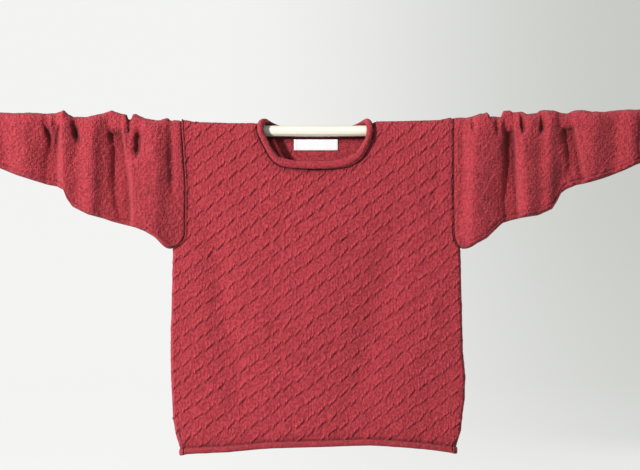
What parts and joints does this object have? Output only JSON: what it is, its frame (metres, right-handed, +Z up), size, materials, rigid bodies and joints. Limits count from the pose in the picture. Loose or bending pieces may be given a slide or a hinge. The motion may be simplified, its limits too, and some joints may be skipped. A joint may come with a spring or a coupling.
{
  "type": "square-neck knitted sweater hanging on a wooden pole",
  "caption": "Boxy hand-knitted sweater with a wide square neck and rolled edges, its sleeves bunched on a round wooden pole that holds it up",
  "frame": {"origin": "on the pole's axis, midway between the sweater's sides", "axes": "+X along the pole, to the right as seen from the front; +Z up; the sweater's front faces -Y"},
  "size_m": [1.4519, 0.057, 0.6713],
  "materials": {
    "red_knit": "matt cotton knit in soft red, with rows of short slanted purl dashes",
    "white_woven": "fine woven tape, white and bare",
    "pale_wood": "pale sanded wood, clear satin"
  },
  "bodies": {
    "root": {"front": "red_knit", "back": "red_knit", "sleeve_left": "red_knit", "sleeve_right": "red_knit", "neck_roll": "red_knit", "label": "white_woven", "pole": "pale_wood"}
  },
  "joints": []
}
